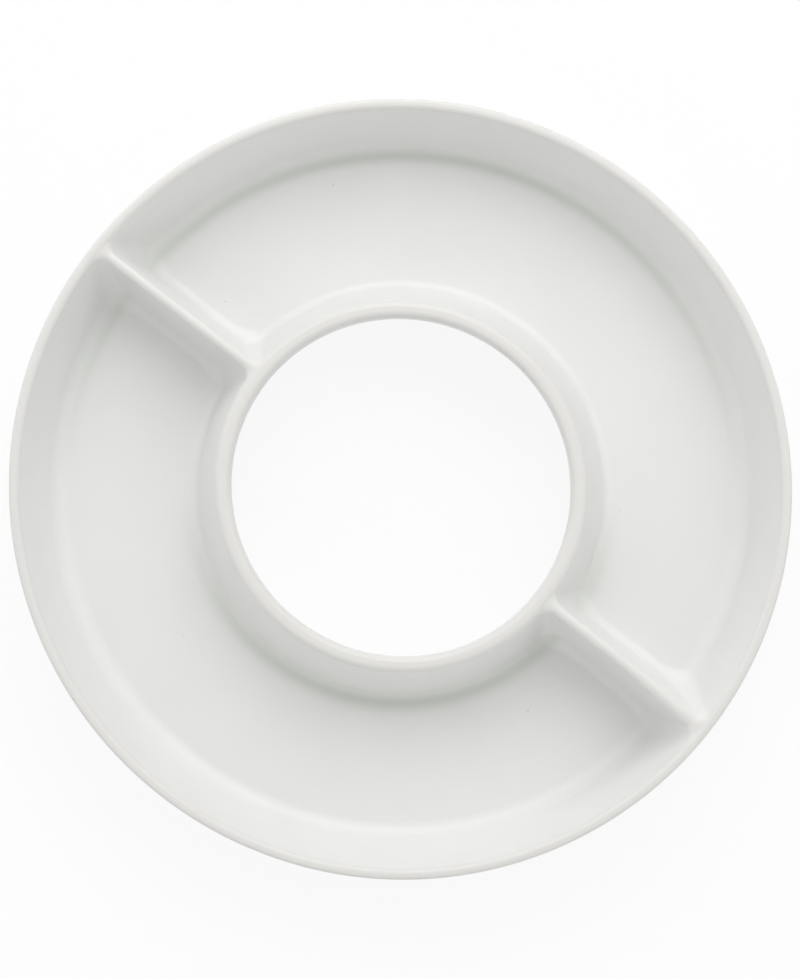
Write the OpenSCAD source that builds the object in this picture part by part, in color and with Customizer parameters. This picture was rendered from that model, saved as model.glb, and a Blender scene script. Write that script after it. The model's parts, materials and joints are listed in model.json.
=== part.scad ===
// Chip and dip server: a deep glazed stoneware ring that stands round a dip bowl. Millimetres.
// The real ring is one casting. Its regions are modelled here as separate closed solids that meet
// face to face: the floor, the flared outer wall, the collar round the opening, the two straight
// dividers and the two bare foot rings that it stands on.
// The origin is the centre of the opening, in the plane of the table, with +Z up.

/* [Ring] */
// Diameter over the outer rim
rim_d = 312; // [300:1:340]
// Clear diameter of the centre opening, at its narrowest
opening_d = 136; // [120:1:144]
// Height of the rims above the table
ring_h = 45; // [40:1:60]
// Thickness of the floor
floor_t = 6; // [5:0.5:8]

/* [Outer wall] */
// Thickness of the outer rim, which is fully round
rim_t = 4.6; // [3.6:0.2:6]
// Lean of the wall's inner face from upright, in degrees
wall_lean = 16.8; // [12:0.2:22]
// Radius of the sweep from the floor up into the wall
wall_fillet_r = 8.6; // [5:0.2:9]
// Lean of the wall's outer face from upright, in degrees
skirt_lean = 15; // [11:0.2:18]
// Radius of the turn from the outer face to the underside
skirt_r = 7; // [4:0.5:8]

/* [Collar] */
// Width of the rim round the opening
collar_t = 7; // [6.4:0.2:9]
// Radius of both edges of that rim
collar_edge_r = 3; // [2:0.2:3.2]
// Lean of the collar's outer face from upright, in degrees
collar_lean = 13.4; // [8:0.2:18]
// Radius of the fillet between the floor and the collar
collar_fillet_r = 4.2; // [3:0.2:5]
// Height of the upright band that is the opening's narrowest part
band_h = 6; // [4:1:10]
// Lean of the opening's wall below the band, in degrees
opening_lean = 14; // [8:0.5:16]

/* [Dividers] */
// Direction of the line that the dividers stand on, in degrees from the X axis
divider_angle = 142; // [0:1:180]
// Width across the foot of a divider, with its fillets
divider_w = 21.6; // [19:0.2:26]
// Radius of the fillets along its foot
divider_fillet_r = 4.2; // [3:0.2:5]
// Radius of the rounded crest
crest_r = 2; // [1.2:0.2:2.6]
// Drop of the crest below the rims
crest_drop = 0.8; // [0.6:0.2:8]
// Radius in plan of a divider's inside corners, at the crest
corner_top_r = 4; // [2:0.5:6]
// Radius in plan that the same corners open out to, down at the foot
corner_foot_r = 10; // [9.5:0.5:12]

/* [Foot rings] */
// Height of the foot rings
foot_h = 2.5; // [2:0.5:4]
// Width of each foot ring at the table
foot_w = 5; // [4:0.5:7]
// Distance of each foot ring from the edge of the flat floor above it
foot_inset = 3; // [2:0.5:6]

/* [Hidden] */
glaze = "#dfe0dc";
bare_clay = "#cdc4b4";
$fn = 180;

rim_r = rim_d / 2;
opening_r = opening_d / 2;
floor_z = foot_h + floor_t;

// Straight pieces that each curve is drawn with: steps of the wall's fillet in degrees, then how
// many pieces for the outer rim, the collar's edges, the small turns below, and the dividers'
// inside corners, ends and crests
fillet_step = 12;
fillet_turn = 72;
rim_steps = 16;
edge_steps = 8;
foot_steps = 5;
corner_steps = 5;
end_steps = 6;
crest_steps = 5;
// Share of the round crest that is drawn before its top is closed flat, in degrees
crest_turn = 78;
// Small radii that nothing else depends on
foot_edge_r = foot_h * 0.45;
lip_r = collar_fillet_r / 2;

// How far a face that rises from the floor stands off its own foot at height z: along a fillet of
// radius r first, then along the straight lean above it
function reach(z, lean, r) =
    let (rise = z - floor_z, turn = r * (1 - sin(lean)))
    rise < turn
        ? sqrt(pow(r, 2) - pow(r - rise, 2))
        : r * cos(lean) + (rise - turn) * tan(lean);

// The rim's round section, and the height at which each face runs into it
rim_round = rim_t / 2;
rim_c = [rim_r - rim_round, ring_h - rim_round];
wall_top_z = rim_c[1] + rim_round * sin(wall_lean);
collar_c = [opening_r + collar_t - collar_edge_r, ring_h - collar_edge_r];
collar_top_z = collar_c[1] + collar_edge_r * sin(collar_lean);

// Radii of the flat floor's two edges, which put both faces in line with their rims
floor_out_r = rim_c[0] - rim_round * cos(wall_lean)
    - reach(wall_top_z, wall_lean, wall_fillet_r);
floor_in_r = collar_c[0] + collar_edge_r * cos(collar_lean)
    + reach(collar_top_z, collar_lean, collar_fillet_r);

// Radii of the tray's two walls at height z, along the straight lean and then round the rim
function wall_r(z) =
    z < wall_top_z
        ? floor_out_r + reach(z, wall_lean, wall_fillet_r)
        : rim_c[0] - sqrt(pow(rim_round, 2) - pow(z - rim_c[1], 2));
function collar_r(z) =
    z < collar_top_z
        ? floor_in_r - reach(z, collar_lean, collar_fillet_r)
        : collar_c[0] + sqrt(pow(collar_edge_r, 2) - pow(z - collar_c[1], 2));

// Points of an arc about c, from angle a to angle b
function arc(c, r, a, b, steps) =
    [for (i = [0:steps]) c + r * [cos(a + (b - a) * i / steps), sin(a + (b - a) * i / steps)]];

// Heights at which the fillets are stepped, the same for every face so that neighbours meet
fillet_z = [for (a = [0:fillet_step:fillet_turn]) floor_z + wall_fillet_r * (1 - cos(a))];

// Divider section: its side is the line that touches both the foot's fillet and the round crest
crest_z = ring_h - crest_drop;
crest_c_z = crest_z - crest_r;
centres_up = crest_c_z - floor_z - divider_fillet_r;
centres_apart = norm([divider_w / 2, centres_up]);
divider_lean = atan(divider_w / 2 / centres_up)
    - asin((divider_fillet_r + crest_r) / centres_apart);
side_top_z = crest_c_z + crest_r * sin(divider_lean);
crest_z_steps = [for (i = [0:crest_steps])
    crest_c_z + crest_r * sin(divider_lean + (crest_turn - divider_lean) * i / crest_steps)];

// Half of a divider's thickness at height z
function half_w(z) =
    z < side_top_z
        ? divider_w / 2 - reach(z, divider_lean, divider_fillet_r)
        : sqrt(pow(crest_r, 2) - pow(z - crest_c_z, 2));

// Plan radius of the inside corners at height z, beside a face whose own fillet is r. It shrinks
// from the foot to the crest, and again where that fillet and the round crest take it in
function corner_r(z, r) =
    let (up = (z - floor_z) / (side_top_z - floor_z))
    let (plain = corner_foot_r + (corner_top_r - corner_foot_r) * up)
    z > side_top_z
        ? corner_top_r * half_w(z) / half_w(side_top_z)
        : plain - r + (z < floor_z + r ? reach(z, 0, r) : r);

// Plan outline of a divider that lies along +X, at height z: the side from the collar to the wall
// with an arc in each corner, the wall's curve, the same side mirrored, and the collar's curve
function divider_level(z) =
    let (w = half_w(z), ri = collar_r(z), ro = wall_r(z))
    let (ci = corner_r(z, collar_fillet_r), co = corner_r(z, wall_fillet_r))
    let (in_a = asin((w + ci) / (ri + ci)), out_a = asin((w + co) / (ro - co)))
    let (in_c = (ri + ci) * [cos(in_a), sin(in_a)], out_c = (ro - co) * [cos(out_a), sin(out_a)])
    let (side = concat(arc(in_c, ci, 180 + in_a, 270, corner_steps),
                       arc(out_c, co, 270, 360 + out_a, corner_steps)))
    let (wall_curve = arc([0, 0], ro, out_a, -out_a, end_steps))
    let (collar_curve = arc([0, 0], ri, -in_a, in_a, end_steps))
    [for (p = concat(side,
                     [for (i = [1:end_steps - 1]) wall_curve[i]],
                     [for (i = [len(side) - 1:-1:0]) [side[i][0], -side[i][1]]],
                     [for (i = [1:end_steps - 1]) collar_curve[i]])) [p[0], p[1], z]];

// Closed solid through a stack of outlines, lowest first, that run clockwise seen from above and
// all have the same number of points
module loft(levels) {
    n = len(levels[0]);
    top = len(levels) - 1;
    points = [for (level = levels, p = level) p];
    bottom_face = [for (i = [n - 1:-1:0]) i];
    top_face = [for (i = [0:n - 1]) top * n + i];
    side_faces = [for (k = [0:top - 1], i = [0:n - 1])
        let (a = k * n + i, b = k * n + (i + 1) % n)
        each [[a, b, a + n], [b, b + n, a + n]]];
    polyhedron(points, concat([bottom_face, top_face], side_faces));
}

module divider(angle) {
    z_steps = concat(fillet_z, crest_z_steps);
    rotate(angle)
        loft([for (z = z_steps) divider_level(z)]);
}

// Ring of square section with its lower edges rounded, standing on the table
module foot_ring(inner_r) {
    outer_r = inner_r + foot_w;
    lower_in = arc([inner_r + foot_edge_r, foot_edge_r], foot_edge_r, 180, 270, foot_steps);
    lower_out = arc([outer_r - foot_edge_r, foot_edge_r], foot_edge_r, 270, 360, foot_steps);
    rotate_extrude()
        polygon(concat(lower_in, lower_out, [[outer_r, foot_h], [inner_r, foot_h]]));
}

module tray_floor() {
    color(glaze)
        rotate_extrude()
            translate([floor_in_r, foot_h])
                square([floor_out_r - floor_in_r, floor_t]);
}

module outer_wall() {
    inner_face = [for (z = fillet_z) [wall_r(z), z]];
    rim = arc(rim_c, rim_round, 180 - wall_lean, -skirt_lean, rim_steps);
    // Where the outer face, carried down from the rim, comes within skirt_r of the underside
    skirt_z = foot_h + skirt_r;
    face_foot = rim_c[0] + rim_round / cos(skirt_lean) - (rim_c[1] - skirt_z) * tan(skirt_lean);
    skirt_c = [face_foot - skirt_r / cos(skirt_lean), skirt_z];
    underside = arc(skirt_c, skirt_r, -skirt_lean, -90, edge_steps);
    color(glaze)
        rotate_extrude()
            polygon(concat(inner_face, rim, underside, [[floor_out_r, foot_h]]));
}

module inner_collar() {
    outer_face = [for (z = fillet_z) [collar_r(z), z]];
    outer_edge = arc(collar_c, collar_edge_r, collar_lean, 90, edge_steps);
    inner_c = [opening_r + collar_edge_r, collar_c[1]];
    inner_edge = arc(inner_c, collar_edge_r, 90, 180, edge_steps);
    band_z = collar_c[1] - band_h;
    lip_z = foot_h + lip_r;
    lip_c = [opening_r + (band_z - lip_z) * tan(opening_lean) + lip_r / cos(opening_lean), lip_z];
    lower_lip = arc(lip_c, lip_r, 180 + opening_lean, 270, foot_steps);
    color(glaze)
        rotate_extrude()
            polygon(concat(outer_face, outer_edge, inner_edge, [[opening_r, band_z]],
                lower_lip, [[floor_in_r, foot_h]]));
}

module left_divider() {
    color(glaze)
        divider(divider_angle);
}

module right_divider() {
    color(glaze)
        divider(divider_angle + 180);
}

module outer_foot_ring() {
    color(bare_clay)
        foot_ring(floor_out_r - foot_inset - foot_w);
}

module inner_foot_ring() {
    color(bare_clay)
        foot_ring(floor_in_r + foot_inset);
}

tray_floor();
outer_wall();
inner_collar();
left_divider();
right_divider();
outer_foot_ring();
inner_foot_ring();
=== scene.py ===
import json
import math

import bpy
import numpy as np
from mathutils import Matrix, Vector


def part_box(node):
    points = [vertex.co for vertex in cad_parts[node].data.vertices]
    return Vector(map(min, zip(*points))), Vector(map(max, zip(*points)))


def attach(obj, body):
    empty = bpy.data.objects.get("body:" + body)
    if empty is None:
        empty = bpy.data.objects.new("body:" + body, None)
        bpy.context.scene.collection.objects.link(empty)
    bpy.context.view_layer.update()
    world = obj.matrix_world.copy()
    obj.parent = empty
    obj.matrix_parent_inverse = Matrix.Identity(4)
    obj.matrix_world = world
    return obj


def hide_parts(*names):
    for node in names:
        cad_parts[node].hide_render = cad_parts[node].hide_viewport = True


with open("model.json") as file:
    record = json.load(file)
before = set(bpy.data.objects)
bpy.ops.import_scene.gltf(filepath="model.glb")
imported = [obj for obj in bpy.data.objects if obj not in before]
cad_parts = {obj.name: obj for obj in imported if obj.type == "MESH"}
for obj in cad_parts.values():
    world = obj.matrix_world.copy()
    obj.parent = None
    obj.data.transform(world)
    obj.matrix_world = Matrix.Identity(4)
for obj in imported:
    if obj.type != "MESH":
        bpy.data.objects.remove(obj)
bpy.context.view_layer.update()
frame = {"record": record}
mm = 0.001

# Chip and dip server: one glazed stoneware casting, dressed region by region. Every glazed region
# is worked out from the same section and the same blend, so neighbours meet without a seam.
# Heights and radii come from the frame; leans and small radii are the section's own.
opening = next(m for m in frame["record"]["mounts"] if m["name"] == "centre_opening")
ring = {
    "rimRadius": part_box("outer_wall")[1].x,
    "rimTop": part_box("outer_wall")[1].z,
    "floorTop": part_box("tray_floor")[1].z,
    "underside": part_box("tray_floor")[0].z,
    "floorOut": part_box("tray_floor")[1].x,
    "floorIn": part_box("inner_collar")[1].x,
    "openingRadius": opening["dims"]["r_mm"] * mm,
    "steps": 720,                # round the ring
    "ovalAlong": 0.7 * mm,       # the dividers held the rims out as it dried and fired
    "drawIn": 0.25 * mm,         # the outer rim drew in all round
    "collarDrawIn": 0.45 * mm,   # and the collar's a little more
    "collarShift": (0.3 * mm, 0.45 * mm),    # and leant off centre
}
dividerAngle = math.radians(142)


# section: lines and arcs in (radius, height), walked so that the open air is on the left

def linePath(start, end, steps):
    # points from start to end, with the left-hand normal of that direction
    start, end = np.array(start, float), np.array(end, float)
    t = np.linspace(0, 1, steps + 1)[:, None]
    along = (end - start) / np.linalg.norm(end - start)
    points = start + (end - start) * t
    return points, np.tile([-along[1], along[0]], (steps + 1, 1))


def arcPath(centre, radius, startDeg, endDeg, steps):
    # points of an arc; the left-hand normal points away from the centre when the angle falls
    a = np.radians(np.linspace(startDeg, endDeg, steps + 1))
    spoke = np.stack([np.cos(a), np.sin(a)], axis=1)
    side = 1 if endDeg < startDeg else -1
    return np.array(centre) + radius * spoke, side * spoke


def joinPaths(*paths):
    # one run of points and normals, without the doubled point where two stretches meet
    points, normals = [paths[0][0]], [paths[0][1]]
    for p, n in paths[1:]:
        points.append(p[1:])
        normals.append(n[1:])
    return np.concatenate(points), np.concatenate(normals)


# firing: the rims went slightly oval along the dividers, the foot stayed round

def fired(points):
    # radius grows by a cosine of twice the angle from the dividers, less the draw, and the collar
    # moves sideways; all of it in proportion to height
    x, y, z = points[..., 0], points[..., 1], points[..., 2]
    r = np.hypot(x, y)
    lift = np.clip((z - ring["underside"]) / (ring["rimTop"] - ring["underside"]), 0, 1)
    inward = np.clip((ring["rimRadius"] - r) / (ring["rimRadius"] - ring["openingRadius"]), 0, 1)
    wave = np.cos(2 * (np.arctan2(y, x) - dividerAngle))
    draw = ring["drawIn"] + (ring["collarDrawIn"] - ring["drawIn"]) * inward
    grow = 1 + lift * (ring["ovalAlong"] * wave - draw) / r
    shiftX, shiftY = ring["collarShift"]
    return np.stack([x * grow + lift * inward * shiftX,
                     y * grow + lift * inward * shiftY, z], axis=-1)


# meshes

def newPiece(name, vertices, faces, normals, node, material):
    # a smooth mesh with the worked-out normals, riding on the ring in place of its node
    mesh = bpy.data.meshes.new(name)
    mesh.from_pydata(vertices.tolist(), [], faces)
    mesh.polygons.foreach_set("use_smooth", np.ones(len(mesh.polygons), dtype=bool))
    mesh.normals_split_custom_set_from_vertices(normals.tolist())
    mesh.materials.append(material)
    # the painted crease shade goes on every point as an attribute
    mesh.attributes.new("creaseShade", "FLOAT", "POINT").data.foreach_set("value", creaseShade(vertices))
    piece = bpy.data.objects.new(name, mesh)
    bpy.context.scene.collection.objects.link(piece)
    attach(piece, "root")
    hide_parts(node)
    print("made", name, len(mesh.polygons), "faces")
    return piece


def gridFaces(rows, columns):
    # quads of a grid of points that is wrapped round in both directions
    i = np.arange(rows)[:, None]
    j = np.arange(columns)[None, :]
    a = i * columns + j
    b = i * columns + (j + 1) % columns
    c = (i + 1) % rows * columns + (j + 1) % columns
    d = (i + 1) % rows * columns + j
    return np.stack([a, d, c, b], axis=-1).reshape(-1, 4)


def turnedPiece(name, path, node, material):
    # a closed section carried once round the upright axis
    points, normals = path
    t = np.linspace(0, 2 * math.pi, ring["steps"], endpoint=False)
    c, s = np.cos(t)[None, :], np.sin(t)[None, :]
    r, z = points[:, :1], points[:, 1:]
    vertices = np.stack([r * c, r * s, z + 0 * c], axis=-1)
    nr, nz = normals[:, :1], normals[:, 1:]
    turnedNormals = np.stack([nr * c, nr * s, nz + 0 * c], axis=-1)
    faces = gridFaces(len(points), len(t))
    return newPiece(name, fired(vertices).reshape(-1, 3), faces.tolist(),
                    turnedNormals.reshape(-1, 3), node, material)


# materials

def linear(hexColour):
    # sRGB hex to linear, opaque: each channel less its offset, raised to 2.4
    parts = [int(hexColour[i:i + 2], 16) / 255 for i in (1, 3, 5)]
    return [p / 12.92 if p <= 0.04045 else ((p + 0.055) / 1.055) ** 2.4 for p in parts] + [1.0]


def addNode(tree, kind, settings=None, inputs=None, links=None):
    # one node: attributes, socket values by name, and links from (node, output) to an input
    node = tree.nodes.new(kind)
    for key, value in (settings or {}).items():
        setattr(node, key, value)
    for key, value in (inputs or {}).items():
        node.inputs[key].default_value = value
    for key, (source, output) in (links or {}).items():
        tree.links.new(source.outputs[output], node.inputs[key])
    return node


glazeLook = {
    "tone": "#E3E4E2",
    "lightTone": "#E7E7E5",      # where it lies a little thicker
    "rimShadeTone": "#DCDBD8",       # painted shade over the rims and crests, darker towards the rim tops
    "creaseShadeTone": "#CED1CA",     # painted shade in the creases that lie in shade
    "speckTone": "#C2C1B8",
    "roughness": 0.42,
    "ior": 1.5,                  # of the glass that a glaze melts to
    "waveSize": 26 * mm,         # slow unevenness of the dipped coat
    "waveDepth": 0.05 * mm,
    "rimShadeDepth": 2.4 * mm,       # how far down from the rims the painted shade starts
    "rimShadeFull": 0.4 * mm,        # and from where up it is at its darkest
    "speckSpacing": 16 * mm,     # iron specks in the clay, well apart
    "speckSize": 0.45 * mm,
    "speckCore": 0.4,            # share of its radius that has the full tone
    "creaseShadeWidth": 2.6 * mm,
    "creaseShadeBehind": 1.3,         # behind the collar the painted shade is this much wider
    "creaseShadeHeight": 4.5 * mm,    # the painted shade fades with height over the floor, as where it climbs a divider's foot
}


def creaseShade(points):
    # share of painted shade in the two creases that lie in shade: at the foot of the wall on the
    # +Y side and behind the collar on the -Y side; each is a bell curve of the distance from its
    # crease, times the sine of the place round the ring and a bell curve of the height over the
    # floor
    x, y, z = points[:, 0], points[:, 1], points[:, 2]
    r = np.maximum(np.hypot(x, y), 1e-6)
    w = glazeLook["creaseShadeWidth"]
    atWall = np.exp(-((r - ring["floorOut"] - w) / w) ** 2) * np.clip(y / r, 0, 1)
    wider = glazeLook["creaseShadeBehind"] * w
    atCollar = np.exp(-((r - ring["floorIn"]) / wider) ** 2) * np.clip(-y / r, 0, 1)
    above = z - ring["floorTop"]
    fadesUp = np.exp(-(above / glazeLook["creaseShadeHeight"]) ** 2)
    return np.where(above > -1 * mm, fadesUp * (atWall + atCollar), 0)


def glazedStoneware():
    # opaque pale grey-white glaze over fired stoneware: a smooth glassy coat, softly uneven where
    # it ran and settled, so reflections are broad and a little loose; it carries painted shade over
    # the rims and crests and in the shaded creases, and a few specks of iron show through
    material = bpy.data.materials.new("glazedStoneware")
    material.use_nodes = True
    tree = material.node_tree
    tree.nodes.clear()
    place = addNode(tree, "ShaderNodeTexCoord")
    wave = addNode(tree, "ShaderNodeTexNoise",
                   inputs={"Scale": 1 / glazeLook["waveSize"], "Detail": 2.0, "Roughness": 0.45},
                   links={"Vector": (place, "Object")})
    height = addNode(tree, "ShaderNodeSeparateXYZ", links={"Vector": (place, "Object")})
    # painted shade over the rims and crests: by height, darker towards the rim tops
    edge = addNode(tree, "ShaderNodeMapRange", {"interpolation_type": "SMOOTHSTEP"},
                   inputs={"From Min": ring["rimTop"] - glazeLook["rimShadeDepth"],
                           "From Max": ring["rimTop"] - glazeLook["rimShadeFull"]},
                   links={"Value": (height, "Z")})
    # painted shade in the shaded creases, read from each piece's attribute
    creaseShadeNode = addNode(tree, "ShaderNodeAttribute", {"attribute_name": "creaseShade"})
    cells = addNode(tree, "ShaderNodeTexVoronoi",
                    inputs={"Scale": 1 / glazeLook["speckSpacing"]},
                    links={"Vector": (place, "Object")})
    # the distance comes in cells, so a speck's radius is its size over the spacing
    speckRadius = glazeLook["speckSize"] / glazeLook["speckSpacing"]
    speck = addNode(tree, "ShaderNodeMapRange", {"interpolation_type": "SMOOTHSTEP"},
                    inputs={"From Min": speckRadius,
                            "From Max": glazeLook["speckCore"] * speckRadius},
                    links={"Value": (cells, "Distance")})

    def over(below, share, output, tone):
        # a layer of one tone over what lies below it; 6 and 7 are a colour mix's two inputs and
        # 2 its output
        layer = addNode(tree, "ShaderNodeMix", {"data_type": "RGBA"},
                        links={"Factor": (share, output)})
        layer.inputs[7].default_value = linear(tone)
        if isinstance(below, str):
            layer.inputs[6].default_value = linear(below)
        else:
            tree.links.new(below.outputs[2], layer.inputs[6])
        return layer

    tone = over(glazeLook["tone"], wave, "Fac", glazeLook["lightTone"])
    tone = over(tone, edge, "Result", glazeLook["rimShadeTone"])
    tone = over(tone, creaseShadeNode, "Fac", glazeLook["creaseShadeTone"])
    tone = over(tone, speck, "Result", glazeLook["speckTone"])
    bump = addNode(tree, "ShaderNodeBump",
                   inputs={"Strength": 1.0, "Distance": glazeLook["waveDepth"]},
                   links={"Height": (wave, "Fac")})
    shader = addNode(tree, "ShaderNodeBsdfPrincipled",
                     inputs={"Roughness": glazeLook["roughness"], "IOR": glazeLook["ior"]},
                     links={"Normal": (bump, "Normal")})
    tree.links.new(tone.outputs[2], shader.inputs["Base Color"])
    addNode(tree, "ShaderNodeOutputMaterial", links={"Surface": (shader, "BSDF")})
    return material


clayLook = {
    "tone": "#BDB19C",
    "lightTone": "#D6CCBA",
    "roughness": 0.85,
    "gritSize": 0.8 * mm,        # sand grains are nearer 0.3 mm, too fine to show
    "gritDepth": 0.1 * mm,
    "gritStrength": 0.6,
}


def bareStoneware():
    # unglazed fired clay on the foot rings, wiped clean before the glaze fired: matt and sandy
    material = bpy.data.materials.new("bareStoneware")
    material.use_nodes = True
    tree = material.node_tree
    tree.nodes.clear()
    place = addNode(tree, "ShaderNodeTexCoord")
    grit = addNode(tree, "ShaderNodeTexNoise",
                   inputs={"Scale": 1 / clayLook["gritSize"], "Detail": 3.0, "Roughness": 0.6},
                   links={"Vector": (place, "Object")})
    tone = addNode(tree, "ShaderNodeMix", {"data_type": "RGBA"}, links={"Factor": (grit, "Fac")})
    tone.inputs[6].default_value = linear(clayLook["tone"])
    tone.inputs[7].default_value = linear(clayLook["lightTone"])
    bump = addNode(tree, "ShaderNodeBump",
                   inputs={"Strength": clayLook["gritStrength"], "Distance": clayLook["gritDepth"]},
                   links={"Height": (grit, "Fac")})
    shader = addNode(tree, "ShaderNodeBsdfPrincipled", inputs={"Roughness": clayLook["roughness"]},
                     links={"Normal": (bump, "Normal")})
    tree.links.new(tone.outputs[2], shader.inputs["Base Color"])
    addNode(tree, "ShaderNodeOutputMaterial", links={"Surface": (shader, "BSDF")})
    return material


glaze = glazedStoneware()
bareClay = bareStoneware()
print("materials made")

# outer wall: fillet, straight face, round rim, outer face, skirt and underside
wall = {
    "rimRound": 2.3 * mm,
    "rimSquareness": 3.0,        # of its outer half, where 2 is round
    "lean": 16.8,                # degrees from upright, inner face
    "skirtLean": 15.0,           # outer face
    "skirtRadius": 7 * mm,
    "filletSteps": 24,
    "rimSteps": (20, 24, 4),     # inner round, squared outer part, and the turn to the outer face
    "skirtSteps": 18,
    "faceSteps": 10,
}
rimCentre = (ring["rimRadius"] - wall["rimRound"], ring["rimTop"] - wall["rimRound"])


def filletRadius(centre, radius, leanDeg, foot, side):
    # radius of the sweep that starts flat on the floor at radius foot and ends along the face
    # that leans off that rim's round; side is -1 for the outer wall and 1 for the collar
    lean = math.radians(leanDeg)
    rise = centre[1] - ring["floorTop"]
    faceAtFloor = centre[0] + side * (radius / math.cos(lean) + rise * math.tan(lean))
    return side * (foot - faceAtFloor) / math.tan(math.pi / 4 - lean / 2)


wall["fillet"] = filletRadius(rimCentre, wall["rimRound"], wall["lean"], ring["floorOut"], -1)


def squaredPath(centre, radius, power, steps):
    # a quarter from the top outwards of the curve on which the sum of both offsets, each raised
    # to the power, stays the same; the normal goes by the offsets raised to the power less one
    a = np.radians(np.linspace(90, 0, steps + 1))
    offset = np.stack([np.abs(np.cos(a)), np.abs(np.sin(a))], axis=1) ** (2 / power)
    normal = offset ** (power - 1)
    length = np.linalg.norm(normal, axis=1, keepdims=True)
    return np.array(centre) + radius * offset, normal / length


def wallSection():
    # from the floor's edge up the inner face, over the rim and down to the underside
    f, rr, lean = wall["fillet"], wall["rimRound"], wall["lean"]
    fillet = arcPath((ring["floorOut"], ring["floorTop"] + f), f, -90, -lean, wall["filletSteps"])
    inSteps, outSteps, turnSteps = wall["rimSteps"]
    rim = joinPaths(arcPath(rimCentre, rr, 180 - lean, 90, inSteps),
                    squaredPath(rimCentre, rr, wall["rimSquareness"], outSteps),
                    arcPath(rimCentre, rr, 0, -wall["skirtLean"], turnSteps))
    sr, sl = wall["skirtRadius"], math.radians(wall["skirtLean"])
    skirtHeight = ring["underside"] + sr
    face = rimCentre[0] + rr / math.cos(sl) - (rimCentre[1] - skirtHeight) * math.tan(sl)
    skirt = arcPath((face - sr / math.cos(sl), skirtHeight), sr, -wall["skirtLean"], -90,
                    wall["skirtSteps"])
    inner = linePath(fillet[0][-1], rim[0][0], wall["faceSteps"])
    outer = linePath(rim[0][-1], skirt[0][0], wall["faceSteps"])
    under = linePath(skirt[0][-1], (ring["floorOut"], ring["underside"]), 1)
    return joinPaths(fillet, inner, rim, outer, skirt, under)


turnedPiece("outerWall", wallSection(), "outer_wall", glaze)

# collar round the opening
collar = {
    "width": 7 * mm,
    "edge": 3 * mm,
    "lean": 13.4,                # trough side
    "band": opening["dims"]["length_mm"] * mm,
    "openingLean": 14.0,         # below the band, where the opening widens
    "lip": 2.1 * mm,
    "filletSteps": 18,
    "edgeSteps": 20,
    "lipSteps": 10,
    "faceSteps": 10,
}
collarCentre = (ring["openingRadius"] + collar["width"] - collar["edge"],
                ring["rimTop"] - collar["edge"])
collar["fillet"] = filletRadius(collarCentre, collar["edge"], collar["lean"], ring["floorIn"], 1)


def collarSection():
    # from the underside up the flared opening, over the flat-topped rim and down to the floor
    f, e, lean, lip = collar["fillet"], collar["edge"], collar["lean"], collar["lip"]
    bandFoot = collarCentre[1] - collar["band"]
    lipHeight = ring["underside"] + lip
    ol = math.radians(collar["openingLean"])
    lipRadius = ring["openingRadius"] + (bandFoot - lipHeight) * math.tan(ol) + lip / math.cos(ol)
    lower = arcPath((lipRadius, lipHeight), lip, 270, 180 + collar["openingLean"],
                    collar["lipSteps"])
    innerEdge = arcPath((ring["openingRadius"] + e, collarCentre[1]), e, 180, 90,
                        collar["edgeSteps"])
    outerEdge = arcPath(collarCentre, e, 90, lean, collar["edgeSteps"])
    fillet = arcPath((ring["floorIn"], ring["floorTop"] + f), f, 180 + lean, 270,
                     collar["filletSteps"])
    under = linePath((ring["floorIn"], ring["underside"]), lower[0][0], 2)
    flare = linePath(lower[0][-1], (ring["openingRadius"], bandFoot), 8)
    band = linePath((ring["openingRadius"], bandFoot), innerEdge[0][0], 3)
    top = linePath(innerEdge[0][-1], outerEdge[0][0], 2)
    face = linePath(outerEdge[0][-1], fillet[0][0], collar["faceSteps"])
    return joinPaths(under, lower, flare, band, innerEdge, top, outerEdge, face, fillet)


turnedPiece("innerCollar", collarSection(), "inner_collar", glaze)

# floor of the trough
tray = {"topSteps": 48, "underSteps": 8}


def floorSection():
    # its two flat faces, whose ends meet the wall and the collar
    top = linePath((ring["floorIn"], ring["floorTop"]), (ring["floorOut"], ring["floorTop"]),
                   tray["topSteps"])
    under = linePath((ring["floorOut"], ring["underside"]), (ring["floorIn"], ring["underside"]),
                     tray["underSteps"])
    return np.concatenate([top[0], under[0]]), np.concatenate([top[1], under[1]])


turnedPiece("trayFloor", floorSection(), "tray_floor", glaze)

# bare foot rings
foot = {"width": 5 * mm, "inset": 3 * mm, "edge": 1.1 * mm, "edgeSteps": 8}


def footSection(inner):
    # an upright band with both lower edges rounded
    e, top = foot["edge"], ring["underside"]
    outer = inner + foot["width"]
    innerEdge = arcPath((inner + e, e), e, 270, 180, foot["edgeSteps"])
    outerEdge = arcPath((outer - e, e), e, 360, 270, foot["edgeSteps"])
    return joinPaths(linePath(outerEdge[0][-1], innerEdge[0][0], 2), innerEdge,
                     linePath(innerEdge[0][-1], (inner, top), 2),
                     linePath((inner, top), (outer, top), 2),
                     linePath((outer, top), outerEdge[0][0], 2), outerEdge)


turnedPiece("outerFootRing", footSection(ring["floorOut"] - foot["inset"] - foot["width"]),
            "outer_foot_ring", bareClay)
turnedPiece("innerFootRing", footSection(ring["floorIn"] + foot["inset"]),
            "inner_foot_ring", bareClay)

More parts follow.
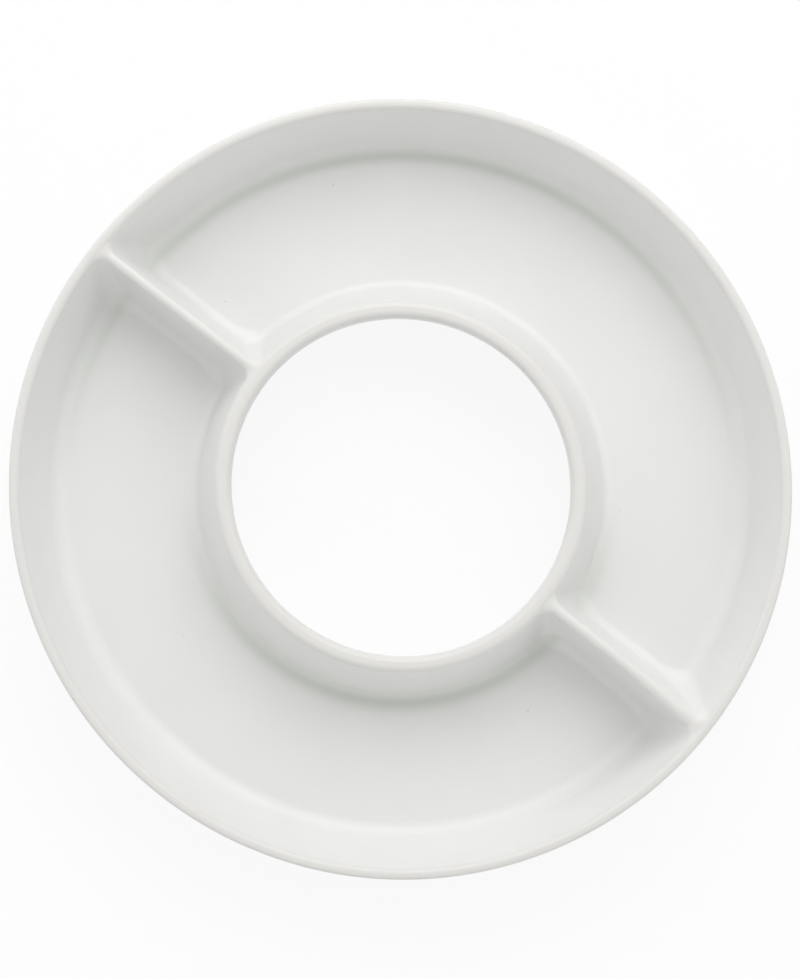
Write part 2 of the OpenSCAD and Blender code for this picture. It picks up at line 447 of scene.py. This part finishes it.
# dividers: a straight wedge with a round crest, blended into floor, wall and collar
divider = {
    "lean": 8.73,                # of each side
    "crestRound": 2.0 * mm,
    "crestDrop": 0.8 * mm,       # below the rims
    "footBlend": 4.6 * mm,       # with the floor
    "cornerFoot": 9 * mm,        # with wall and collar, at the floor
    "cornerTop": 5 * mm,         # and near the crest
    "cornerTopDepth": 2.2 * mm,  # below the rims, from where up it stays so
    "cornerNear": 2 * mm,        # a corner's blend is full this near to wall or collar
    "cornerFade": 12 * mm,       # and gone this much further off
    "swellFrom": 108 * mm,       # radius from which a crest swells towards the wall
    "furthest": 40 * mm,         # no blend reaches further to a side
    "sink": 0.002 * mm,          # of the surface, so that its edges lie under the ring's glaze
    "depth": 0.4 * mm,           # of the underside below the bare trough
    "along": 240,
    "across": 120,
    "crowdEnds": 0.75,           # how much closer the grid stands at wall and collar, up to 1
    "crowdCrest": 0.45,          # spacing at the crest, where 1 is even
}
# the two were fettled by hand, so each stands a little aside of the line (to the left of the way
# outwards counts as positive), and one was left thicker on its right where it meets the wall
leftFettling = {"aside": -1.1 * mm, "swell": 0.0}
rightFettling = {"aside": -0.45 * mm, "swell": -2.3 * mm}


def smooth(t):
    # from 0 to 1 with level ends: three times the square less twice the cube
    t = np.clip(t, 0, 1)
    return t * t * (3 - 2 * t)


def faceField(r, z, centre, radius, leanDeg, side):
    # distance to a rim's round and to the leaning face below it, and the way it grows
    lean = math.radians(leanDeg)
    dr, dz = r - centre[0], z - centre[1]
    face = side * dr * math.cos(lean) + dz * math.sin(lean) - radius
    above = -side * dr * math.sin(lean) + dz * math.cos(lean) > 0
    spoke = np.maximum(np.hypot(dr, dz), 1e-9)
    return (np.where(above, spoke - radius, face),
            np.where(above, dr / spoke, side * math.cos(lean)),
            np.where(above, dz / spoke, math.sin(lean)))


def troughField(r, z):
    # distance to the bare trough (floor, both leaning faces, both rims, both fillets), the way it
    # grows in radius and height, and the distance to the nearer of wall and collar
    outer = faceField(r, z, rimCentre, wall["rimRound"], wall["lean"], -1)
    inner = faceField(r, z, collarCentre, collar["edge"], collar["lean"], 1)
    level = r < collarCentre[0]
    inner = (np.where(level, z - ring["rimTop"], inner[0]), np.where(level, 0, inner[1]),
             np.where(level, 1, inner[2]))
    nearer = [np.where(outer[0] < inner[0], a, b) for a, b in zip(outer, inner)]
    toWall = nearer[0]
    floor = z - ring["floorTop"]
    field = [np.where(floor < toWall, a, b) for a, b in zip((floor, 0, 1), nearer)]
    for radius, part, side in ((ring["floorOut"], wall, 1), (ring["floorIn"], collar, -1)):
        a, f = math.radians(part["lean"]), part["fillet"]
        dr, dz = side * (r - radius), z - ring["floorTop"] - f
        spoke = np.maximum(np.hypot(dr, dz), 1e-9)
        sweep = (dr > 0) & (dr * math.sin(a) + dz * math.cos(a) < 0)
        turned = (f - spoke, -side * dr / spoke, -dz / spoke)
        field = [np.where(sweep, a, b) for a, b in zip(turned, field)]
    return *field, toWall


def crestRun(r, fettling):
    # across-position of the crest's middle, its radius and the height of its centre: half of the
    # swell goes into the radius and half moves the middle, so the other side stays where it was
    far = smooth((r - divider["swellFrom"]) / (ring["rimRadius"] - divider["swellFrom"]))
    swell = fettling["swell"] * far
    radius = divider["crestRound"] + np.abs(swell) / 2
    return fettling["aside"] + swell / 2, radius, ring["rimTop"] - divider["crestDrop"] - radius


def dividerField(r, v, z, fettling):
    # distance to the wedge and its round crest, and the way it grows across and in height
    middle, radius, height = crestRun(r, fettling)
    lean = math.radians(divider["lean"])
    dz, across = z - height, np.abs(v - middle)
    side = across * math.cos(lean) + dz * math.sin(lean) - radius
    above = dz * math.cos(lean) - across * math.sin(lean) > 0
    spoke = np.maximum(np.hypot(across, dz), 1e-9)
    return (np.where(above, spoke - radius, side),
            np.sign(v - middle) * np.where(above, across / spoke, math.cos(lean)),
            np.where(above, dz / spoke, math.sin(lean)))


def blendRadius(toWall, z):
    # small along the floor, wide in the corners, and narrower again towards the crest
    rise = ring["rimTop"] - ring["floorTop"] - divider["cornerTopDepth"]
    up = smooth((z - ring["floorTop"]) / rise)
    corner = divider["cornerFoot"] + (divider["cornerTop"] - divider["cornerFoot"]) * up
    near = smooth(1 - (toWall - divider["cornerNear"]) / divider["cornerFade"])
    return divider["footBlend"] + (corner - divider["footBlend"]) * near


def meeting(r, v, z, fettling):
    # both distances, the cosine between the ways they grow, and the blend radius there
    trough, alongR, upR, toWall = troughField(r, z)
    rib, alongV, upV = dividerField(r, v, z, fettling)
    cosine = alongR * alongV * v / r + upR * upV
    return trough, rib, cosine, blendRadius(toWall, z)


def blended(r, v, z, fettling):
    # a ball of the blend radius k rolls along the two surfaces: with u and w what is left of k
    # above each and c the cosine between them, the blend lies at
    # k - sqrt((uu + ww - 2cuw) / (1 - cc))
    trough, rib, c, k = meeting(r, v, z, fettling)
    u, w = k - trough, k - rib
    rolls = (u > 0) & (w > 0) & (u > c * w) & (w > c * u)
    squares = np.maximum(u * u + w * w - 2 * c * u * w, 0)
    ball = k - np.sqrt(squares / np.maximum(1 - c * c, 1e-9))
    return np.where(rolls, ball, np.minimum(trough, rib))


def bisect(test, low, high, rounds=44):
    # whole arrays at once: the place between low and high where test turns positive
    low, high = np.array(low, float), np.array(high, float)
    for _ in range(rounds):
        middle = (low + high) / 2
        positive = test(middle) > 0
        high = np.where(positive, middle, high)
        low = np.where(positive, low, middle)
    return (low + high) / 2


def troughHeight(r):
    # where the distance to the bare trough is nothing
    def rise(z):
        return troughField(r, z)[0]
    return bisect(rise, r * 0, r * 0 + ring["rimTop"] + 1 * mm)


def blendEdge(r, bare, side, fettling):
    # how far to one side of the crest's middle the ball still touches the bare trough
    middle, radius, height = crestRun(r, fettling)
    _, _, up, toWall = troughField(r, bare)
    k = blendRadius(toWall, bare)
    rise = np.maximum(bare - height, 0)
    start = np.sqrt(np.maximum(k * up * rise - rise ** 2, 0))

    def beyond(reach):
        trough, rib, c, k = meeting(r, middle + side * reach, bare, fettling)
        return rib - k * (1 - c)
    return bisect(beyond, start, start * 0 + divider["furthest"])


def slope(x, y, z, fettling):
    # unit normal of the blended surface, by small differences
    e = 1e-6

    def field(a, b, c):
        return blended(np.hypot(a, b), b, c, fettling)
    gradient = np.stack([field(x + e, y, z) - field(x - e, y, z),
                         field(x, y + e, z) - field(x, y - e, z),
                         field(x, y, z + e) - field(x, y, z - e)], axis=-1)
    return gradient / np.linalg.norm(gradient, axis=-1, keepdims=True)


def dividerPiece(name, angle, node, fettling):
    # one parameter runs along the divider from rim crown to rim crown, the other across it from
    # edge to edge of the blend, and the surface's height is found over every point of that grid;
    # the underside lies a little inside the ring, and the edges a hair under its glaze
    t = np.linspace(0, 1, divider["along"] + 1)
    t = t - divider["crowdEnds"] * np.sin(2 * math.pi * t) / (2 * math.pi)
    r = collarCentre[0] + (rimCentre[0] - collarCentre[0]) * t
    q = np.linspace(-1, 1, divider["across"] + 1)[None, :]
    bare = troughHeight(r)
    reach = np.where(q < 0, blendEdge(r, bare, -1, fettling)[:, None],
                     blendEdge(r, bare, 1, fettling)[:, None])
    crowd = divider["crowdCrest"]
    v = crestRun(r, fettling)[0][:, None] + reach * q * (crowd + (1 - crowd) * q * q)
    rr, flat = r[:, None] + 0 * v, bare[:, None] + 0 * v

    def rise(height):
        return blended(rr, v, height, fettling)
    z = bisect(rise, flat - 1 * mm, flat * 0 + ring["rimTop"] + 3 * mm)
    x = np.sqrt(rr ** 2 - v ** 2)
    top = np.stack([x, v, z - divider["sink"]], axis=-1)
    below = np.stack([x, v, flat - divider["depth"]], axis=-1)[1:-1, 1:-1]
    normals = np.concatenate([slope(x, v, z, fettling).reshape(-1, 3),
                              np.tile([0, 0, -1.0], (below[..., 0].size, 1))])
    vertices = np.concatenate([top.reshape(-1, 3), below.reshape(-1, 3)])
    rows, columns = v.shape
    over = np.arange(rows * columns).reshape(rows, columns)
    under = over.copy()      # both surfaces share the points of their edge
    inside = np.arange((rows - 2) * (columns - 2)).reshape(rows - 2, columns - 2)
    under[1:-1, 1:-1] = rows * columns + inside
    upper = np.stack([over[:-1, :-1], over[1:, :-1], over[1:, 1:], over[:-1, 1:]], axis=-1)
    lower = np.stack([under[:-1, :-1], under[:-1, 1:], under[1:, 1:], under[1:, :-1]], axis=-1)
    faces = np.concatenate([upper.reshape(-1, 4), lower.reshape(-1, 4)])
    c, s = math.cos(angle), math.sin(angle)
    turn = np.array([[c, -s, 0], [s, c, 0], [0, 0, 1]])
    return newPiece(name, fired(vertices @ turn.T), faces.tolist(), normals @ turn.T,
                    node, glaze)


dividerPiece("leftDivider", dividerAngle, "left_divider", leftFettling)
dividerPiece("rightDivider", dividerAngle + math.pi, "right_divider", rightFettling)

# stage: a white table that keeps a faint shadow, because most of its white is a glow of its own
# that only the camera, reflections and see-through things meet
stage = {
    "glow": 0.86,
    "tone": "#F4F4F4",
    "drop": 0.02 * mm,           # below the foot rings, so that the two don't share a plane
    "half": 6.0,
}


def whiteShown(tree):
    # 1 for a ray from the camera, from a reflection or through something clear, and 0 for the rest
    ray = addNode(tree, "ShaderNodeLightPath")
    shown = addNode(tree, "ShaderNodeMath", {"operation": "MAXIMUM"},
                    links={0: (ray, "Is Camera Ray"), 1: (ray, "Is Glossy Ray")})
    return addNode(tree, "ShaderNodeMath", {"operation": "MAXIMUM"},
                   links={0: (shown, "Value"), 1: (ray, "Is Transmission Ray")})


def whiteTable():
    material = bpy.data.materials.new("whiteTable")
    material.use_nodes = True
    tree = material.node_tree
    tree.nodes.clear()
    matt = addNode(tree, "ShaderNodeBsdfDiffuse", inputs={"Color": linear(stage["tone"])})
    glow = addNode(tree, "ShaderNodeEmission", inputs={"Color": (1, 1, 1, 1), "Strength": 1.0})
    share = addNode(tree, "ShaderNodeMath", {"operation": "MULTIPLY"}, inputs={1: stage["glow"]},
                    links={0: (whiteShown(tree), "Value")})
    mix = addNode(tree, "ShaderNodeMixShader",
                  links={0: (share, "Value"), 1: (matt, 0), 2: (glow, 0)})
    addNode(tree, "ShaderNodeOutputMaterial", links={"Surface": (mix, 0)})
    return material


tableMesh = bpy.data.meshes.new("table")
half, low = stage["half"], -stage["drop"]
tableMesh.from_pydata([(-half, -half, low), (half, -half, low),
                       (half, half, low), (-half, half, low)], [], [(0, 1, 2, 3)])
tableMesh.materials.append(whiteTable())
table = bpy.data.objects.new("table", tableMesh)
bpy.context.scene.collection.objects.link(table)

# light: a white room, a broad window and a softbox on the far side for the soft shadows, and
# weak lights round the other sides
room = {"brightness": 0.44}
world = bpy.data.worlds.new("studio")
bpy.context.scene.world = world
world.use_nodes = True
tree = world.node_tree
tree.nodes.clear()
sky = addNode(tree, "ShaderNodeBackground",
              inputs={"Color": (1, 1, 1, 1), "Strength": room["brightness"]})
white = addNode(tree, "ShaderNodeBackground", inputs={"Color": (1, 1, 1, 1), "Strength": 1.0})
mix = addNode(tree, "ShaderNodeMixShader",
              links={0: (whiteShown(tree), "Value"), 1: (sky, 0), 2: (white, 0)})
addNode(tree, "ShaderNodeOutputWorld", links={"Surface": (mix, 0)})


lamps = {
    "distance": 1.8,
    # azimuth counted from +X towards +Y and elevation in degrees, width, height and brightness
    "window": (90, 44, 3.4, 1.6, 0.79),
    "keySoftbox": (84, 45, 1.3, 1.5, 1.66),
    "leftLow": (155, 18, 1.4, 1.0, 1.22),
    "rightSide": (5, 42, 1.4, 1.4, 0.8),
    "fill": (240, 40, 1.6, 1.4, 0.68),
    "nearLow": (295, 16, 1.4, 0.9, 0.88),
}


def softLight(name):
    # a flat lamp that faces the ring; its power is brightness times pi times its area
    azimuth, elevation, width, height, brightness = lamps[name]
    lamp = bpy.data.lights.new(name, "AREA")
    lamp.shape = "RECTANGLE"
    lamp.size, lamp.size_y = width, height
    lamp.energy = brightness * math.pi * width * height
    holder = bpy.data.objects.new(name, lamp)
    a, e = math.radians(azimuth), math.radians(elevation)
    away = Vector((math.cos(a) * math.cos(e), math.sin(a) * math.cos(e), math.sin(e)))
    holder.location = away * lamps["distance"]
    holder.rotation_euler = away.to_track_quat("Z", "Y").to_euler()
    bpy.context.scene.collection.objects.link(holder)


for lampName in ("window", "keySoftbox", "leftLow", "rightSide", "fill", "nearLow"):
    softLight(lampName)
print("lit")

# camera: from almost straight above, a touch towards the near side
shot = {
    "elevation": 88.0,
    "distance": 1.4,
    "halfWidth": 0.15904,        # of the view at the rims
    "aim": (-0.16 * mm, -0.57 * mm),
    "sensorWidth": 36,
}
cameraData = bpy.data.cameras.new("camera")
camera = bpy.data.objects.new("camera", cameraData)
bpy.context.scene.collection.objects.link(camera)
bpy.context.scene.camera = camera
e = math.radians(shot["elevation"])
back = Vector((0, -math.cos(e), math.sin(e)))
target = Vector((*shot["aim"], ring["rimTop"]))
camera.location = target + back * shot["distance"]
camera.rotation_euler = back.to_track_quat("Z", "Y").to_euler()
cameraData.sensor_fit = "HORIZONTAL"
cameraData.sensor_width = shot["sensorWidth"]
cameraData.lens = shot["sensorWidth"] / 2 * shot["distance"] / shot["halfWidth"]
bpy.context.scene.view_settings.view_transform = "Standard"
